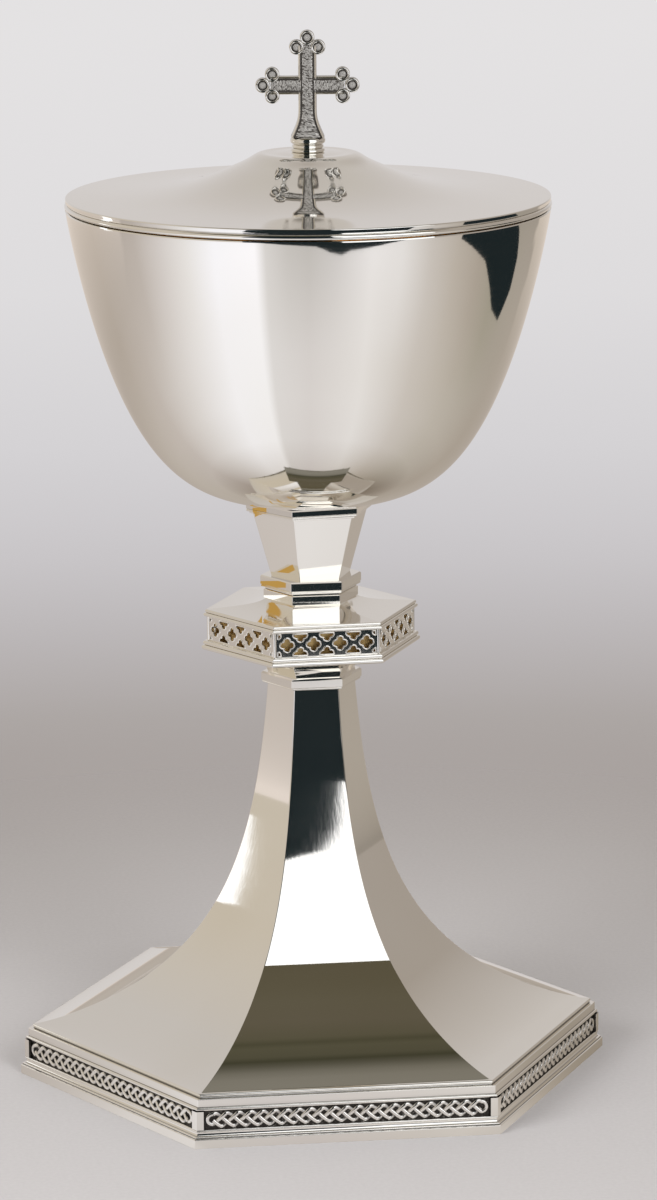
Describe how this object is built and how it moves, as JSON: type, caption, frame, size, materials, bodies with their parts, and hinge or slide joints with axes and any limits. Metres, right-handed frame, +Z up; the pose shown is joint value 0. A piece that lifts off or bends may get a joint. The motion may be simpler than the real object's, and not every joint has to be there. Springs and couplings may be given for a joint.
{
  "type": "footed ciborium with lift-off cover",
  "caption": "Silver ciborium: round bowl on a hexagonal knopped stem and flared foot with plaitwork frieze, closed by a lift-off cover topped with a cross.",
  "frame": {"origin": "middle of the resting face under the foot", "axes": "+Z up the axis of the vessel; a flat side of the hexagonal foot faces -Y and two of its corners are on +X and -X"},
  "size_m": [0.1508, 0.1306, 0.2642],
  "materials": {
    "polished_silver": "polished",
    "satin_silver": "softly polished",
    "oxidised_plaitwork": "polished relief on a darkened ground",
    "gilding": "gilt",
    "brass_fixings": "turned"
  },
  "bodies": {
    "vessel": {"plinth": "polished_silver", "lower_moulding": "polished_silver", "frieze_wall": "polished_silver", "plait_panel_1": "oxidised_plaitwork", "plait_panel_2": "oxidised_plaitwork", "plait_panel_3": "oxidised_plaitwork", "plait_panel_4": "oxidised_plaitwork", "plait_panel_5": "oxidised_plaitwork", "plait_panel_6": "oxidised_plaitwork", "upper_moulding": "polished_silver", "foot": "polished_silver", "stem_collar": "polished_silver", "knop_base": "polished_silver", "knop_lower_plate": "polished_silver", "knop_band": "polished_silver", "knop_lining": "gilding", "knop_upper_plate": "polished_silver", "knop_cap": "polished_silver", "knop_collar": "polished_silver", "neck": "polished_silver", "bowl_collar": "polished_silver", "bowl_boss": "brass_fixings", "bowl": "satin_silver", "tie_rod": "brass_fixings", "rod_washer": "brass_fixings", "rod_nut": "brass_fixings"},
    "cover": {"cover_shell": "satin_silver", "cover_rim": "polished_silver", "cover_bezel": "gilding", "finial_collar": "polished_silver", "cross": "polished_silver", "finial_stud": "brass_fixings", "finial_washer": "brass_fixings", "finial_nut": "brass_fixings"}
  },
  "joints": [
    {"name": "cover_lift", "type": "slide", "parent": "vessel", "child": "cover", "axis": [0, 0, 1], "range_m": [0, 0.08]}
  ]
}
